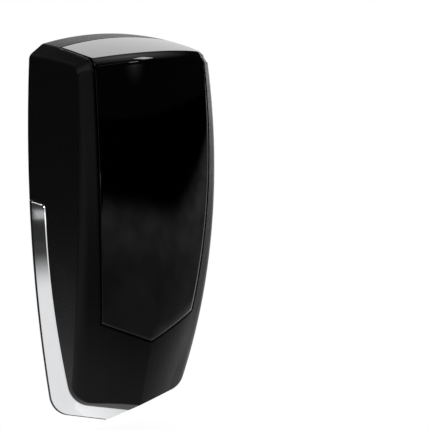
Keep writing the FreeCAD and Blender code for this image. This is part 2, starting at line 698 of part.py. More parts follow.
# Parts on the board, placed from its edges and from each other
column_half = max(BRIDGE_WIDTH / 2, CHIP_WIDTH / 2 + LEAD_REACH)
column_x = TUBE_BODY / 2 + PART_SPACE + column_half
column_low = post_low + POST_DIAMETER / 2 + PART_SPACE
relay_low = OPTIC_HEIGHT + TUBE_MOUTH / 2 + PART_SPACE / 3
relay_left = -post_x + BOARD_SCREW_HEAD / 2 + PART_SPACE / 2
relay_right = relay_left + RELAY_WIDTH


def on_board(x, z, width, height, depth):
    """Block that stands on the board."""
    return box(x - width / 2, x + width / 2, BOARD_FRONT, BOARD_FRONT + depth, z - height / 2, z + height / 2)


relay_x = relay_left + RELAY_WIDTH / 2
relay_z = relay_low + RELAY_HEIGHT / 2
relay = on_board(relay_x, relay_z, RELAY_WIDTH, RELAY_HEIGHT, RELAY_DEPTH)
upright = [edge for edge in relay.Edges if abs(edge.tangentAt(edge.FirstParameter).y) > 0.9]
relay = relay.makeFillet(0.6, upright)

capacitor_radius = CAPACITOR_DIAMETER / 2
capacitor_x = relay_right + PART_SPACE / 2 + capacitor_radius
capacitor_end = BOARD_FRONT + CAPACITOR_DEPTH
filter_capacitor = turned(capacitor_x, relay_low + capacitor_radius, [
    (0, BOARD_FRONT), (capacitor_radius, BOARD_FRONT), (capacitor_radius, BOARD_FRONT + 1.2),
    (capacitor_radius - 0.4, BOARD_FRONT + 1.6), (capacitor_radius, BOARD_FRONT + 2.0),
    (capacitor_radius, capacitor_end - 0.5), (capacitor_radius - 0.5, capacitor_end), (0, capacitor_end)])

led_z = relay_low + LED_DIAMETER / 2 + LAMP_RIM
status_led = domed(-post_x, led_z, LED_DIAMETER, BOARD_FRONT, BOARD_FRONT + LED_HEIGHT,
                   LAMP_RIM, LAMP_RIM_THICKNESS)

bridge_z = column_low + BRIDGE_HEIGHT / 2
bridge_rectifier = on_board(column_x, bridge_z, BRIDGE_WIDTH, BRIDGE_HEIGHT, BRIDGE_DEPTH)
bridge_end = at(0, BOARD_FRONT + BRIDGE_DEPTH, 0).y
bridge_edges = [edge for edge in bridge_rectifier.Edges if abs(edge.CenterOfMass.y - bridge_end) < 0.01]
bridge_rectifier = bridge_rectifier.makeChamfer(0.5, bridge_edges)

regulator_z = column_low + BRIDGE_HEIGHT + PART_SPACE + REGULATOR_DIAMETER / 2
voltage_regulator = rod(column_x, regulator_z, REGULATOR_DIAMETER, BOARD_FRONT, BOARD_FRONT + REGULATOR_DEPTH)
flat_x = column_x + REGULATOR_DIAMETER / 2 - REGULATOR_FLAT
voltage_regulator = voltage_regulator.cut(box(flat_x, flat_x + SPARE, 0, SIDE_EDGE_DEPTH, BOTTOM, TOP))

resistors = []
for i in range(3):
    z = column_low + RESISTOR_WIDTH / 2 + i * (RESISTOR_WIDTH + PART_SPACE)
    resistors.append(on_board(-column_x, z, RESISTOR_LENGTH, RESISTOR_WIDTH, RESISTOR_DEPTH))

chip_z = column_low + 3 * (RESISTOR_WIDTH + PART_SPACE) + CHIP_HEIGHT / 2
microcontroller = on_board(-column_x, chip_z, CHIP_WIDTH, CHIP_HEIGHT, CHIP_DEPTH)
chip_leads = []
for side in (-1, 1):
    for i in range(4):
        z = chip_z + (i - 1.5) * CHIP_PITCH
        edge_x = CHIP_WIDTH / 2
        knee = LEAD_REACH / 2
        low = BOARD_FRONT
        high = BOARD_FRONT + CHIP_DEPTH / 2
        profile = [(edge_x, high), (edge_x, high + LEAD_THICKNESS), (edge_x + knee, high + LEAD_THICKNESS),
                   (edge_x + knee, low + LEAD_THICKNESS), (edge_x + LEAD_REACH, low + LEAD_THICKNESS),
                   (edge_x + LEAD_REACH, low), (edge_x + knee - LEAD_THICKNESS, low),
                   (edge_x + knee - LEAD_THICKNESS, high)]
        points = [at(-column_x + side * x, depth, z - LEAD_WIDTH / 2) for x, depth in profile]
        face = Part.Face(Part.makePolygon(points + points[:1]))
        chip_leads.append(face.extrude(V(0, 0, LEAD_WIDTH)))

# Screw terminals
terminal_half = POLES * POLE_PITCH / 2
terminal_end = BOARD_FRONT + TERMINAL_DEPTH
bevel = 1.5
profile = [(BOARD_FRONT, terminal_low), (BOARD_FRONT, terminal_high), (terminal_end, terminal_high),
           (terminal_end, terminal_low + bevel), (terminal_end - bevel, terminal_low)]
points = [at(-terminal_half, depth, z) for depth, z in profile]
terminal_block = Part.Face(Part.makePolygon(points + points[:1])).extrude(V(2 * terminal_half, 0, 0))
terminal_screws = []
terminal_clamps = []
clamp_low = terminal_low + 1.0
clamp_high = clamp_low + CLAMP_HEIGHT
clamp_rear = BOARD_FRONT + CLAMP_FLOOR
clamp_end = clamp_rear + CLAMP_DEPTH
clamp_middle = (clamp_low + clamp_high) / 2
for i in range(POLES):
    x = (i - (POLES - 1) / 2) * POLE_PITCH
    half = CLAMP_WIDTH / 2
    pocket = box(x - half, x + half, clamp_rear, clamp_end, terminal_low - 1, clamp_high)
    terminal_block = terminal_block.cut(pocket)
    hole = TERMINAL_SCREW + 2 * PEG_GAP
    terminal_block = terminal_block.cut(rod(x, clamp_middle, hole, clamp_end - 1, terminal_end + 1))
    clamp = box(x - half, x + half, clamp_rear, clamp_end, clamp_low, clamp_high)
    clamp = clamp.cut(box(x - half + 0.7, x + half - 0.7, clamp_rear + 0.7, clamp_end - 0.9, BOTTOM, TOP))
    terminal_clamps.append(clamp)
    screw = rod(x, clamp_middle, TERMINAL_SCREW, clamp_end, terminal_end - 1.4)
    screw_slot = box(x - TERMINAL_SCREW, x + TERMINAL_SCREW, terminal_end - 2.2, terminal_end,
                     clamp_middle - 0.3, clamp_middle + 0.3)
    terminal_screws.append(screw.cut(screw_slot))

# Selection jumper
jumper_z = post_low + PART_SPACE
jumper_pins = []
jumper_header = on_board(0, jumper_z, PIN_COUNT * PIN_PITCH, PIN_PITCH, HEADER_DEPTH)
cap_low = BOARD_FRONT + HEADER_DEPTH
jumper_cap = box(-PIN_COUNT * PIN_PITCH / 2, PIN_PITCH / 2 - JUMPER_GAP, cap_low, cap_low + JUMPER_DEPTH,
                 jumper_z - PIN_PITCH / 2, jumper_z + PIN_PITCH / 2)
for i in range(PIN_COUNT):
    x = (i - (PIN_COUNT - 1) / 2) * PIN_PITCH
    pin = on_board(x, jumper_z, PIN_WIDTH, PIN_WIDTH, PIN_DEPTH)
    jumper_pins.append(pin)
    jumper_header = jumper_header.cut(pin)
    width = PIN_WIDTH + 2 * JUMPER_GAP
    jumper_cap = jumper_cap.cut(on_board(x, jumper_z, width, width, PIN_DEPTH + JUMPER_DEPTH))

# Files
pieces = {
    "front_cover": front_cover, "ir_window": ir_window, "chrome_trim": chrome_trim, "base": base,
    "cover_gasket": cover_gasket, "cover_screw": cover_screw, "cable_grommet": cable_grommet,
    "circuit_board": circuit_board, "optic_tube": optic_tube, "collimator_lens": collimator_lens,
    "photodiode": photodiode, "status_led": status_led, "terminal_block": terminal_block, "relay": relay,
    "filter_capacitor": filter_capacitor, "bridge_rectifier": bridge_rectifier,
    "microcontroller": microcontroller, "voltage_regulator": voltage_regulator,
    "jumper_header": jumper_header, "jumper_cap": jumper_cap,
}
groups = {
    "board_screws": board_screws, "terminal_screws": terminal_screws, "terminal_clamps": terminal_clamps,
    "chip_leads": chip_leads, "resistors": resistors, "jumper_pins": jumper_pins,
}
for name, shape in pieces.items():
    save(name, shape.Solids[0] if len(shape.Solids) == 1 else shape)
for name, shapes in groups.items():
    save(name, Part.makeCompound(shapes))
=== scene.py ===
# %% [markdown]
# # A gate photocell
# This lesson dresses the solids of a wall-mounted infrared receiver. A matte black cover carries
# a glossy window that folds over its top, and a chrome trim runs round the lower half.
# The solids come in as a fixed frame, in metres: X to the right, Y into the wall, Z up. Other programs
# share that frame, so nothing in it is moved: finishes and one finer mesh are laid over it.

# %% Load the frame
import math
import bmesh
import bpy
from mathutils import Euler, Matrix, Vector


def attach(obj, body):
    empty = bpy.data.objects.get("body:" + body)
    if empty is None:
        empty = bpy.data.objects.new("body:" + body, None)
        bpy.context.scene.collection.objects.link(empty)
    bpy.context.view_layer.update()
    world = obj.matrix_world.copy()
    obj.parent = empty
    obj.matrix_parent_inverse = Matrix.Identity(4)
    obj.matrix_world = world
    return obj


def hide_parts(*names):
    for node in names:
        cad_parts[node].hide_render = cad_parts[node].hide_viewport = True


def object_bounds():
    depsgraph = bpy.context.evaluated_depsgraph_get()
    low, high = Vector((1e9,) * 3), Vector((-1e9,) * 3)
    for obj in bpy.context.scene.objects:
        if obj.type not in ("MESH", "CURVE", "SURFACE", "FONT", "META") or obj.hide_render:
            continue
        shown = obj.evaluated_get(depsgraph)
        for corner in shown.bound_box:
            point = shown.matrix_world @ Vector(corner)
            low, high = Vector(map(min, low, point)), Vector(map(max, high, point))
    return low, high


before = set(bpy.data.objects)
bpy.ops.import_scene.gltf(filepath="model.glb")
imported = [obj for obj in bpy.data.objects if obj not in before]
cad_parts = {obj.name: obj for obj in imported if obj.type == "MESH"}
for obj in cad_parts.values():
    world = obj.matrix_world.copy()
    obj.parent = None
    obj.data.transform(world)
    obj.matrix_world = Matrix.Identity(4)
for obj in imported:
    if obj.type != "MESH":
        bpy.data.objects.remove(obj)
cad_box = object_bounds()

MM = 0.001
scene = bpy.context.scene
scene.view_settings.view_transform = "Standard"
print("nodes:", len(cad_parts), "box:", cad_box)

# %% [markdown]
# ## Camera
# A long lens looks from the front left, a little above the object, as in a catalogue picture. A camera can
# be set by eye, but its place, angles and lens were solved here from the straight edges of the housing,
# because then the frame needs no shift and every edge falls where it should.

# %% Camera
FRAME_PIXELS = 430
LENS_PIXELS = 1889.2          # focal length, in pixels of the picture
SENSOR_WIDTH = 36.0
CAMERA_PLACE = (-0.25542, -0.49100, 0.10802)
CAMERA_TURN = (79.36, 0.85, -31.187)     # degrees

camera_data = bpy.data.cameras.new("camera")
camera_data.sensor_width = SENSOR_WIDTH
camera_data.lens = SENSOR_WIDTH * LENS_PIXELS / FRAME_PIXELS
camera = bpy.data.objects.new("camera", camera_data)
camera.location = CAMERA_PLACE
camera.rotation_euler = Euler([math.radians(angle) for angle in CAMERA_TURN])
scene.collection.objects.link(camera)
scene.camera = camera
print("lens: %.1f mm" % camera_data.lens)

# %% [markdown]
# ## Helpers
# Colours are written as the hex values that a colour picker shows, and one function turns them
# to linear light. Another adds one shader node with its settings and its links. Nodes could be placed
# by hand in the editor, but written this way they can be read and changed from top to bottom.

# %% Helpers
def linear(hex_colour):
    channels = [int(hex_colour[i:i + 2], 16) / 255 for i in (1, 3, 5)]
    light = [c / 12.92 if c <= 0.04045 else ((c + 0.055) / 1.055) ** 2.4 for c in channels]
    return (*light, 1.0)


def add_node(tree, kind, settings=None, inputs=None, links=None):
    """One node: settings are attributes, inputs are socket values, links are sockets to read."""
    node = tree.nodes.new("ShaderNode" + kind)
    for name, value in (settings or {}).items():
        setattr(node, name, value)
    for name, value in (inputs or {}).items():
        node.inputs[name].default_value = value
    for name, socket in (links or {}).items():
        tree.links.new(socket, node.inputs[name])
    return node


def new_material(name):
    """Empty material, its tree and the place on the piece that its patterns read."""
    material = bpy.data.materials.new(name)
    material.use_nodes = True
    tree = material.node_tree
    tree.nodes.clear()
    return material, tree, add_node(tree, "TexCoord").outputs["Object"]


def per_mm(size):
    """Texture scale at which one feature is that many millimetres wide."""
    return 1 / (size * MM)


def stage_plane(name, width, height):
    """Flat sheet round the origin that isn't part of the object."""
    mesh = bpy.data.meshes.new(name)
    bm = bmesh.new()
    bmesh.ops.create_grid(bm, x_segments=1, y_segments=1, size=0.5)
    bmesh.ops.scale(bm, vec=(width, height, 1), verts=bm.verts)
    bm.to_mesh(mesh)
    bm.free()
    sheet = bpy.data.objects.new(name, mesh)
    scene.collection.objects.link(sheet)
    return sheet


print("mid grey in linear light: %.3f" % linear("#808080")[0])

# %% [markdown]
# ## Table
# A glossy black part shows little of itself: what the eye reads is the room. Here it stands on a white
# table in a dark room. Lamps could light the table, but a table that glows by itself can be drawn: it is
# bright close to the part and behind it, grey in front, and it ends there. So the window is grey low down
# and black above. To the camera the table and the air behind it are plain white.

# %% Table
FLOOR_SIZE = 8.0
FLOOR_DROP = 2 * MM
TABLE_LEFT = (-0.18, -0.11)           # X over which the table ends at the left
TABLE_SLANT = (0.04, 0.18, -0.08)     # X over which its front runs back at the right, and how far
# From front to back: Y where a step starts and ends, and the light that it adds
TABLE_STEPS = ((-0.30, -0.18, 0.27), (-0.18, -0.12, -0.10), (-0.065, -0.04, 0.63), (-0.03, 0.0, 0.12))
CLOUD_MM = 60.0
CLOUD_SPAN = (0.35, 0.65)             # values of the noise between which the light changes
CLOUD_LEVELS = (0.75, 1.2)
SHADOW_REACH = 30 * MM
SHADOW_LEVEL = 0.96                   # in the darkest place of the shadow
SHADOW_END = 0.7                      # openness from which there is no shadow

floor_z = cad_box[0][2] - FLOOR_DROP
floor = stage_plane("floor", FLOOR_SIZE, FLOOR_SIZE)
floor.data.transform(Matrix.Translation((0, 0, floor_z)))

material, tree, place = new_material("white table")
parts = add_node(tree, "SeparateXYZ", links={"Vector": place})
table = add_node(tree, "MapRange", {}, {"From Min": TABLE_LEFT[0], "From Max": TABLE_LEFT[1],
                 "To Min": -1.0, "To Max": 0.0}, {"Value": parts.outputs["X"]})
slant = add_node(tree, "MapRange", {}, {"From Min": TABLE_SLANT[0], "From Max": TABLE_SLANT[1],
                 "To Max": TABLE_SLANT[2]}, {"Value": parts.outputs["X"]})
back = add_node(tree, "Math", {"operation": "ADD"}, links={0: parts.outputs["Y"], 1: slant.outputs[0]})
for first, last, rise in TABLE_STEPS:
    step = add_node(tree, "MapRange", {"interpolation_type": "SMOOTHSTEP"},
                    {"From Min": first, "From Max": last, "To Max": rise}, {"Value": back.outputs[0]})
    table = add_node(tree, "Math", {"operation": "ADD"}, links={0: table.outputs[0], 1: step.outputs[0]})
lit = add_node(tree, "Math", {"operation": "MAXIMUM"}, {1: 0.0}, {0: table.outputs[0]})
# Uneven light lies on it in slow clouds
cloud = add_node(tree, "TexNoise", {}, {"Scale": per_mm(CLOUD_MM), "Detail": 2.0}, {"Vector": place})
patchy = add_node(tree, "MapRange", {}, {
    "From Min": CLOUD_SPAN[0], "From Max": CLOUD_SPAN[1], "To Min": CLOUD_LEVELS[0],
    "To Max": CLOUD_LEVELS[1]}, {"Value": cloud.outputs["Fac"]})
uneven = add_node(tree, "Math", {"operation": "MULTIPLY"}, links={0: lit.outputs[0], 1: patchy.outputs[0]})
# Under the part the camera sees a faint soft shadow
shade = add_node(tree, "AmbientOcclusion", {"samples": 8}, {"Distance": SHADOW_REACH})
seen = add_node(tree, "MapRange", {}, {"From Max": SHADOW_END, "To Min": SHADOW_LEVEL},
                {"Value": shade.outputs["AO"]})
path = add_node(tree, "LightPath")
level = add_node(tree, "Mix", {"data_type": "FLOAT"}, links={
    0: path.outputs["Is Camera Ray"], 2: uneven.outputs[0], 3: seen.outputs[0]})
light = add_node(tree, "Emission", links={"Strength": level.outputs[0]})
add_node(tree, "OutputMaterial", links={"Surface": light.outputs[0]})
floor.data.materials.append(material)
print("table at %.1f mm" % (floor_z / MM))

# %% [markdown]
# ## Cards
# Chrome only looks like chrome when it has light and dark to mirror. A white room would make it flat and
# grey, so cards lie round the part, as a photographer lays them. A black one lies at the left, and on it
# a strip of white card, which fills most of the trim, and a short one for its top. A card in front at the
# left lights the rims, and one at the right lights the far flank. The camera doesn't see them.

# %% Cards
CARD_TURN = math.radians(29)          # from +Y towards -X
FRONT_TURN = math.radians(-22)        # of the card in front at the left
CARD_LIFT = 0.3 * MM                  # each card lies this much above the one before
CARD_FADE = (0.13, 0.20)              # Y over which a card goes from its near to its far brightness
# Name, middle, size, turn, and near and far brightness
CARDS = (("black card", (-0.33, 0.47), (0.6, 0.9), 0, 0.02, 0.03),
         ("white card", (-0.081, 0.110), (0.030, 0.26), CARD_TURN, 0.9, 0.05),
         ("short card", (-0.190, 0.285), (0.006, 0.03), CARD_TURN, 0.6, 0.6),
         ("left card", (-0.228, -0.157), (0.16, 0.34), FRONT_TURN, 0.9, 0.9),
         ("right card", (1.03, 0.44), (1.96, 0.92), 0, 1.4, 2.4))

for order, (name, centre, size, turn, near, far) in enumerate(CARDS, 1):
    card = stage_plane(name, *size)
    card.data.transform(Matrix.Rotation(turn, 4, "Z"))
    card.data.transform(Matrix.Translation((*centre, floor_z + order * CARD_LIFT)))
    material, tree, place = new_material(name)
    parts = add_node(tree, "SeparateXYZ", links={"Vector": place})
    fade = add_node(tree, "MapRange", {"interpolation_type": "SMOOTHSTEP"}, {
        "From Min": CARD_FADE[0], "From Max": CARD_FADE[1], "To Min": near, "To Max": far},
        {"Value": parts.outputs["Y"]})
    light = add_node(tree, "Emission", links={"Strength": fade.outputs[0]})
    add_node(tree, "OutputMaterial", links={"Surface": light.outputs[0]})
    card.data.materials.append(material)
    card.visible_camera = False
    card.visible_shadow = False
print("cards:", [card[0] for card in CARDS])

# %% [markdown]
# ## Backdrop, glows and room
# The top of the window mirrors what stands behind the part, so a backdrop stands there, whose glow grows
# upwards. Above and in front hang soft round glows, which fade to the level of the room. Area lamps would
# show hard corners in the window, and a gradient doesn't. The room itself is dark to mirrored rays,
# because a polished black sheet has nothing else to make it look black.

# %% Backdrop
BACKDROP_WAY = math.radians(31)       # from +Y towards +X
BACKDROP_FAR = 0.9
BACKDROP_SIZE = (0.5, 0.6)
BACKDROP_MIDDLE = 0.32
BACKDROP_RISE = (0.05, 0.6)           # heights between which its glow grows
BACKDROP_LEVELS = (0.85, 2.0)

backdrop = stage_plane("backdrop", *BACKDROP_SIZE)
turn = Euler((math.radians(90), 0, -BACKDROP_WAY)).to_matrix().to_4x4()
turn.translation = (BACKDROP_FAR * math.sin(BACKDROP_WAY), BACKDROP_FAR * math.cos(BACKDROP_WAY),
                    BACKDROP_MIDDLE)
backdrop.data.transform(turn)
material, tree, place = new_material("lit backdrop")
parts = add_node(tree, "SeparateXYZ", links={"Vector": place})
rise = add_node(tree, "MapRange", {}, {
    "From Min": BACKDROP_RISE[0], "From Max": BACKDROP_RISE[1], "To Min": BACKDROP_LEVELS[0],
    "To Max": BACKDROP_LEVELS[1]}, {"Value": parts.outputs["Z"]})
light = add_node(tree, "Emission", links={"Strength": rise.outputs[0]})
add_node(tree, "OutputMaterial", links={"Surface": light.outputs[0]})
backdrop.data.materials.append(material)
backdrop.visible_camera = False
print("backdrop:", BACKDROP_SIZE)

# %% Glows
ROOM_LEVEL = 0.02
# Name, middle, reach along each axis, and brightness in the middle
GLOWS = (("glow above", (0.17, 0.0, 0.8), (0.75, 0.75, 0.75), 1.3),
         ("glow in front", (0.134, -1.092, 0.23), (0.22, 0.22, 0.11), 0.4))

for name, centre, reach, strength in GLOWS:
    glow = stage_plane(name, 2 * max(reach), 2 * max(reach))
    turn = Vector(centre).to_track_quat("Z", "Y").to_matrix().to_4x4()
    turn.translation = centre
    glow.data.transform(turn)
    material, tree, place = new_material(name)
    middle = add_node(tree, "Mapping", {"vector_type": "TEXTURE"}, {"Location": centre, "Scale": reach},
                      {"Vector": place})
    fade = add_node(tree, "TexGradient", {"gradient_type": "QUADRATIC_SPHERE"},
                    links={"Vector": middle.outputs[0]})
    level = add_node(tree, "Math", {"operation": "MULTIPLY_ADD"}, {1: strength, 2: ROOM_LEVEL},
                     {0: fade.outputs["Fac"]})
    light = add_node(tree, "Emission", links={"Strength": level.outputs[0]})
    add_node(tree, "OutputMaterial", links={"Surface": light.outputs[0]})
    glow.data.materials.append(material)
    glow.visible_camera = False
print("glows:", [glow[0] for glow in GLOWS])

# %% Room
world = bpy.data.worlds.new("dark room")
world.use_nodes = True
tree = world.node_tree
tree.nodes.clear()
path = add_node(tree, "LightPath")
level = add_node(tree, "MapRange", {}, {"To Min": ROOM_LEVEL, "To Max": 1.0},
                 {"Value": path.outputs["Is Camera Ray"]})
room = add_node(tree, "Background", inputs={"Color": (1, 1, 1, 1)}, links={"Strength": level.outputs[0]})
add_node(tree, "OutputWorld", links={"Surface": room.outputs[0]})
scene.world = world
print("room:", ROOM_LEVEL)

# %% [markdown]
# ## Lamps
# Small lamps give the bright points that tell the eye where an edge is round: on the fold of the window,
# on the corner of the cover and on the rims of the trim. Each is written by the brightness of its face,
# which is what a mirror shows, and its power follows from its size.

# %% Lamps
# Name, middle, size and brightness
LAMPS = (("panel right", (0.6, 0.33, 0.14), (0.5, 0.4), 1.6),
         ("panel left", (-0.28, -0.16, 0.02), (0.25, 0.16), 0.8),
         ("lamp left", (-0.6, -0.05, 0.45), (0.2, 0.15), 12.0),
         ("lamp above", (0.235, -0.30, 0.68), (0.13, 0.17), 9.0),
         ("lamp in front", (0.149, -0.844, 0.79), (0.15, 0.08), 5.0),
         ("strip in front", (0.0, -0.75, 0.8), (0.8, 0.03), 0.8),
         ("lamp behind", (-0.16, 0.80, 0.42), (0.12, 0.12), 2.0))

for name, centre, size, brightness in LAMPS:
    data = bpy.data.lights.new(name, "AREA")
    data.shape = "RECTANGLE"
    data.size, data.size_y = size
    data.energy = brightness * math.pi * size[0] * size[1]
    lamp = bpy.data.objects.new(name, data)
    lamp.location = centre
    lamp.rotation_euler = (-Vector(centre)).to_track_quat("-Z", "Y").to_euler()
    lamp.visible_camera = False
    scene.collection.objects.link(lamp)
print("lamps:", [lamp[0] for lamp in LAMPS])

# %% [markdown]
# ## Window pane
# The real pane is one injection-moulded sheet of black acrylic that lets only infrared through.
# Its solid would show every facet in its reflections, and subdividing that would soften its pointed
# outline. So it is laid anew as a fine grid. Each column of the grid runs from the rear edge of the top,
# over the fold and down to the lower edge, and the sheet then gets its thickness and a small rim.

# %% Pane form, with the sizes of the solid in millimetres
TOP = 58.65
TOP_FALL_RADIUS = 230.0
CROWN_RADIUS = 85.0
FRONT_RADIUS = 190.07
FRONT_CROWN_HEIGHT = 28.0
EDGE_DEPTH = 34.0
KEEL_RISE = 4.2
KEEL_SLOPE = 0.19
FOLD_RADIUS = 2.5
FOLD_WEIGHT = 0.57
EDGE_HALF = 17.75
WIDEST_HEIGHT = 33.3
EDGE_BOW_RADIUS = 520.0
TIP_HEIGHT = -27.7
TIP_ANGLE = math.radians(24.5)
REAR_DEPTH = 11.65
PANE_INSET = 0.23             # pane's edge, inside the window's edge line
PANE_THICKNESS = 2.0
PANE_RIM = 0.07
SETTLE_ROUNDS = 12            # in which a height and a width that depend on each other settle


def bow(crown, radius, distance):
    return crown - radius + math.sqrt(radius ** 2 - distance ** 2)


def edge_half(z):
    return bow(EDGE_HALF, EDGE_BOW_RADIUS, z - WIDEST_HEIGHT)


def front_depth(x, z):
    """Depth of the front, measured from the wall."""
    edge = bow(EDGE_DEPTH, FRONT_RADIUS, z - FRONT_CROWN_HEIGHT)
    keel = edge + KEEL_RISE
    fade = max(0.0, (FRONT_CROWN_HEIGHT - z) / (FRONT_CROWN_HEIGHT + TOP))
    control = keel - KEEL_SLOPE * fade ** 2 * edge_half(z) / 2
    t = 1 - abs(x) / edge_half(z)
    return edge * (1 - t) ** 2 + 2 * control * t * (1 - t) + keel * t ** 2


def top_height(x, depth):
    pivot = TOP - TOP_FALL_RADIUS
    reach = bow(TOP, CROWN_RADIUS, x) - pivot
    return pivot + math.sqrt(reach ** 2 - depth ** 2)


def across_at(share, z):
    """Place across the pane at a height, for a share from -1 to 1 of its half width."""
    return share * (edge_half(z) - PANE_INSET)


def on_top(share, depth):
    z = TOP
    for step in range(SETTLE_ROUNDS):
        z = top_height(across_at(share, z), depth)
    return Vector((across_at(share, z), -depth, z))


def on_front(share, z):
    x = across_at(share, z)
    return Vector((x, -front_depth(x, z), z))


def fold_corner(share):
    z = TOP
    for step in range(SETTLE_ROUNDS):
        x = across_at(share, z)
        z = top_height(x, front_depth(x, z))
    return on_front(share, z)


def lower_end(share):
    tip = TIP_HEIGHT + PANE_INSET / math.cos(TIP_ANGLE)
    z = tip
    for step in range(SETTLE_ROUNDS):
        z = tip + abs(across_at(share, z)) * math.tan(TIP_ANGLE)
    return z


print("fold in the middle at", [round(value, 2) for value in fold_corner(0)])

# %% Pane mesh
ACROSS = 48
TOP_SHARE = 0.3               # part of the rows on the top
FOLD_SHARE = 0.45             # where the rows of the fold end
ALONG = 160
RIM_ANGLE = math.radians(50)  # edges sharper than this get a rim


def pane_point(share, along):
    """Point of the pane, along from 0 at the rear edge to 1 at the lower edge."""
    corner = fold_corner(share)
    start = -corner.y - FOLD_RADIUS
    low = corner.z - FOLD_RADIUS
    rear = REAR_DEPTH + PANE_INSET
    if along < TOP_SHARE:
        return on_top(share, rear + (start - rear) * along / TOP_SHARE)
    if along > FOLD_SHARE:
        down = (along - FOLD_SHARE) / (1 - FOLD_SHARE)
        return on_front(share, low + (lower_end(share) - low) * down)
    t = (along - TOP_SHARE) / (FOLD_SHARE - TOP_SHARE)
    weights = ((1 - t) ** 2, 2 * FOLD_WEIGHT * t * (1 - t), t ** 2)
    points = (on_top(share, start), corner, on_front(share, low))
    return sum((p * w for p, w in zip(points, weights)), Vector()) / sum(weights)


bm = bmesh.new()
bmesh.ops.create_grid(bm, x_segments=ACROSS, y_segments=ALONG, size=1)
for vertex in bm.verts:
    vertex.co = pane_point(vertex.co.x, (1 - vertex.co.y) / 2) * MM
bmesh.ops.recalc_face_normals(bm, faces=bm.faces)
if sum(face.normal.y for face in bm.faces) > 0:
    bmesh.ops.reverse_faces(bm, faces=bm.faces)
bmesh.ops.solidify(bm, geom=bm.faces[:], thickness=PANE_THICKNESS * MM)
rim = [edge for edge in bm.edges if edge.calc_face_angle(0) > RIM_ANGLE]
bmesh.ops.bevel(bm, geom=rim, offset=PANE_RIM * MM, affect="EDGES", segments=3, profile=0.5, material=-1)
for face in bm.faces:
    face.smooth = True
pane_mesh = bpy.data.meshes.new("window_pane")
bm.to_mesh(pane_mesh)
bm.free()
pane = bpy.data.objects.new("window_pane", pane_mesh)
scene.collection.objects.link(pane)
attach(pane, "root")
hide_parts("ir_window")
print("pane:", len(pane_mesh.polygons), "faces, rim:", len(rim), "edges")

# %% [markdown]
# ## Dressing
# The other solids keep their own meshes, because their normals follow the true curves. A copy could be
# bevelled, but would lose those normals. So each takes its finish in its material slot, and the finish
# itself rounds the look of sharp edges.

# %% Dressing
def dress(material, *nodes):
    for node in nodes:
        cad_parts[node].material_slots[0].material = material
    print(material.name + ":", ", ".join(nodes))


print("to dress:", len(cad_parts) - 1, "nodes and the pane")

# %% [markdown]
# ## Moulded plastics
# The cover is black ABS from a spark-eroded mould. Fine pits cover its skin: they blur the shine of the
# room, take most of it away and sparkle where light grazes it. A photograph of the grain could be wrapped
# round it, but noise in real millimetres fits any shape. The base and the parts on the board are moulded
# too, and differ in colour, gloss and grain.

# %% Moulded plastics
NOISE_SPAN = (0.3, 0.7)               # values of a noise between which a finish changes
TONES = (0.8, 1.2)                    # lightness of the grain, as shares of the colour
GLOSS_CLOUD_MM = 14.0
GLOSS_SPREAD = 0.04


def moulded(name, colour, roughness, grain_mm, pit_mm, shine=0.5, edge_mm=0.2):
    """Grain bends the normal and varies the tone, and a slow cloud varies the gloss."""
    material, tree, place = new_material(name)
    grain = add_node(tree, "TexNoise", {}, {"Scale": per_mm(grain_mm), "Detail": 2.0, "Roughness": 0.6},
                     {"Vector": place})
    cloud = add_node(tree, "TexNoise", {}, {"Scale": per_mm(GLOSS_CLOUD_MM), "Detail": 3.0},
                     {"Vector": place})
    dull = add_node(tree, "MapRange", {}, {
        "From Min": NOISE_SPAN[0], "From Max": NOISE_SPAN[1], "To Min": roughness - GLOSS_SPREAD,
        "To Max": roughness + GLOSS_SPREAD}, {"Value": cloud.outputs["Fac"]})
    tone = add_node(tree, "MapRange", {}, {
        "From Min": NOISE_SPAN[0], "From Max": NOISE_SPAN[1], "To Min": TONES[0], "To Max": TONES[1]},
        {"Value": grain.outputs["Fac"]})
    shade = add_node(tree, "Mix", {"data_type": "RGBA", "blend_type": "MULTIPLY"},
                     {0: 1.0, 6: linear(colour)}, {7: tone.outputs[0]})
    edge = add_node(tree, "Bevel", {"samples": 6}, {"Radius": edge_mm * MM})
    pits = add_node(tree, "Bump", {}, {"Strength": 1.0, "Distance": pit_mm * MM},
                    {"Height": grain.outputs["Fac"], "Normal": edge.outputs[0]})
    skin = add_node(tree, "BsdfPrincipled", {}, {"IOR": 1.5, "Specular IOR Level": shine}, {
        "Base Color": shade.outputs[2], "Roughness": dull.outputs[0], "Normal": pits.outputs[0]})
    add_node(tree, "OutputMaterial", links={"Surface": skin.outputs[0]})
    return material


# Spark erosion leaves grain of about 0.2 mm, drawn coarser so that it shows: a dry black with a faint sparkle
dress(moulded("spark-eroded black ABS", "#0a0a0b", 0.42, 0.6, 0.09, shine=0.13, edge_mm=0.8), "front_cover")

# %% Other mouldings
# Smoother and greyer than the cover, with a wide dull shine
dress(moulded("moulded black polyamide", "#0d0d0d", 0.6, 0.4, 0.02), "base")
# Almost no shine
dress(moulded("black rubber", "#0a0a0a", 0.75, 0.5, 0.02), "cover_gasket", "cable_grommet")
# Dull, so that stray light dies inside the tube
dress(moulded("matte black ABS", "#080808", 0.7, 0.3, 0.02), "optic_tube")
# Even colours with the soft shine of a smooth mould
dress(moulded("green polyamide", "#1d6b45", 0.45, 0.4, 0.01), "terminal_block")
dress(moulded("dark blue PBT", "#16202e", 0.4, 0.4, 0.01), "relay")
dress(moulded("black PBT", "#111112", 0.5, 0.3, 0.01), "jumper_header", "jumper_cap")
# A shrunk film, glossier than the mouldings
dress(moulded("PVC sleeve", "#10162c", 0.3, 0.5, 0.005), "filter_capacitor")
# Dark grey and stony from its filler
dress(moulded("epoxy moulding compound", "#141415", 0.55, 0.2, 0.01),
      "bridge_rectifier", "microcontroller", "voltage_regulator")
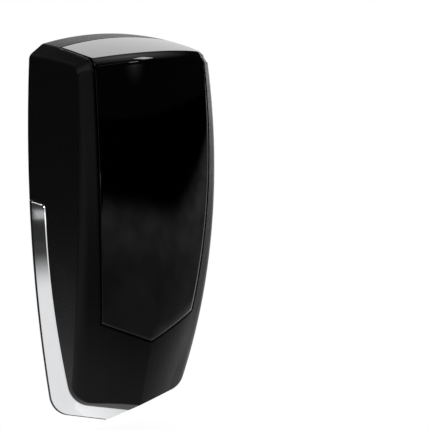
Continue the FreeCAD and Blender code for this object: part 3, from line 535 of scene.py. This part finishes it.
# Fired glass, nearly black
dress(moulded("fired resistor glaze", "#1b1c20", 0.4, 0.2, 0.01), "resistors")

# %% [markdown]
# ## Metals
# The trim is ABS plated with bright chrome, so it is a mirror with a faint haze. A plain mirror looks drawn,
# so a slow mottle from the plating bath varies its gloss. Screws are zinc-plated steel, leads are tinned and
# pins are gilded brass: less smooth, with a finer mottle.

# %% Metals
HAZE = (0.7, 1.3)                     # least and most haze, as shares of the mean
PLATING_TONES = (0.96, 1.0)


def plated(name, colour, roughness, mottle_mm, edge_mm=0.1):
    """Mottle varies the haze and, a little, the tone."""
    material, tree, place = new_material(name)
    mottle = add_node(tree, "TexNoise", {}, {"Scale": per_mm(mottle_mm), "Detail": 3.0}, {"Vector": place})
    dull = add_node(tree, "MapRange", {}, {
        "From Min": NOISE_SPAN[0], "From Max": NOISE_SPAN[1], "To Min": HAZE[0] * roughness,
        "To Max": HAZE[1] * roughness}, {"Value": mottle.outputs["Fac"]})
    tone = add_node(tree, "MapRange", {}, {
        "From Min": NOISE_SPAN[0], "From Max": NOISE_SPAN[1], "To Min": PLATING_TONES[0],
        "To Max": PLATING_TONES[1]}, {"Value": mottle.outputs["Fac"]})
    shade = add_node(tree, "Mix", {"data_type": "RGBA", "blend_type": "MULTIPLY"},
                     {0: 1.0, 6: linear(colour)}, {7: tone.outputs[0]})
    edge = add_node(tree, "Bevel", {"samples": 6}, {"Radius": edge_mm * MM})
    skin = add_node(tree, "BsdfPrincipled", {}, {"Metallic": 1.0}, {
        "Base Color": shade.outputs[2], "Roughness": dull.outputs[0], "Normal": edge.outputs[0]})
    add_node(tree, "OutputMaterial", links={"Surface": skin.outputs[0]})
    return material


# A cold, clear mirror whose rims catch the light
dress(plated("bright chrome plating", "#e9eaec", 0.07, 6.0, edge_mm=0.05), "chrome_trim")
# Greyer and softer mirrors
dress(plated("zinc-plated steel", "#b9bdc2", 0.3, 0.5), "cover_screw", "board_screws")
dress(plated("nickel-plated steel", "#c2bfb8", 0.25, 0.5), "terminal_screws", "terminal_clamps")
dress(plated("tinned copper", "#c9c9c7", 0.35, 0.3), "chip_leads")
# Warm yellow
dress(plated("gilded brass", "#d8b24a", 0.25, 0.3), "jumper_pins")

# %% [markdown]
# ## Resins
# The pane is polished acrylic, dyed so dark that it looks black: a deep colour under a hard, clear
# reflection. It could be made see-through with a dense dye, but no light comes back out of it, so a dark
# base under the reflection looks the same. The lens is clear acrylic, and the lamps on the board are cast
# epoxy. A slow cloud in the gloss keeps their shine from looking drawn.

# %% Resins
RESIN_CLOUD_MM = 9.0


def resin(name, colour, roughness, clear):
    """A slow cloud varies the haze, and clear is the share of light that goes through."""
    material, tree, place = new_material(name)
    cloud = add_node(tree, "TexNoise", {}, {"Scale": per_mm(RESIN_CLOUD_MM), "Detail": 4.0},
                     {"Vector": place})
    dull = add_node(tree, "MapRange", {}, {
        "From Min": NOISE_SPAN[0], "From Max": NOISE_SPAN[1], "To Min": HAZE[0] * roughness,
        "To Max": HAZE[1] * roughness}, {"Value": cloud.outputs["Fac"]})
    skin = add_node(tree, "BsdfPrincipled", {}, {
        "IOR": 1.49, "Base Color": linear(colour), "Transmission Weight": clear},
        {"Roughness": dull.outputs[0]})
    add_node(tree, "OutputMaterial", links={"Surface": skin.outputs[0]})
    return material


# Piano black
pane_mesh.materials.append(resin("polished black acrylic", "#020203", 0.05, 0.0))
# Water-clear, with a sharp rim
dress(resin("clear acrylic", "#f4f6f6", 0.04, 1.0), "collimator_lens")
# Dark glassy drop
dress(resin("dark infrared epoxy", "#0a0a14", 0.12, 0.2), "photodiode")
# Deep red, lit through at its edges
dress(resin("red lamp epoxy", "#b0120c", 0.15, 0.4), "status_led")

# %% [markdown]
# ## Circuit board
# The board is glass-fibre laminate under green solder mask. The weave of the glass shows through as a faint
# check. It could be modelled thread by thread, but two crossed waves draw it well enough.

# %% Circuit board
WEAVE_MM = 0.6
WEAVE_DEPTH = 0.02 * MM

laminate, tree, place = new_material("green glass-fibre laminate")
threads = {"Scale": per_mm(WEAVE_MM) / 20}     # a wave is 1/20 of its scale wide
warp = add_node(tree, "TexWave", {"bands_direction": "X"}, threads, {"Vector": place})
weft = add_node(tree, "TexWave", {"bands_direction": "Z"}, threads, {"Vector": place})
check = add_node(tree, "Math", {"operation": "MULTIPLY"},
                 links={0: warp.outputs["Fac"], 1: weft.outputs["Fac"]})
green = add_node(tree, "Mix", {"data_type": "RGBA"}, {6: linear("#0d4a26"), 7: linear("#125a30")},
                 {0: check.outputs[0]})
relief = add_node(tree, "Bump", {}, {"Strength": 0.3, "Distance": WEAVE_DEPTH}, {"Height": check.outputs[0]})
mask = add_node(tree, "BsdfPrincipled", {}, {"IOR": 1.5, "Roughness": 0.35}, {
    "Base Color": green.outputs[2], "Normal": relief.outputs[0]})
add_node(tree, "OutputMaterial", links={"Surface": mask.outputs[0]})
dress(laminate, "circuit_board")

# %% [markdown]
# ## Sizes
# The dressed part has to fill the same box as its solids. Only the box of the solids is kept, from the start;
# this cell counts the materials.

# %% Sizes and finish
print("materials:", len(bpy.data.materials))
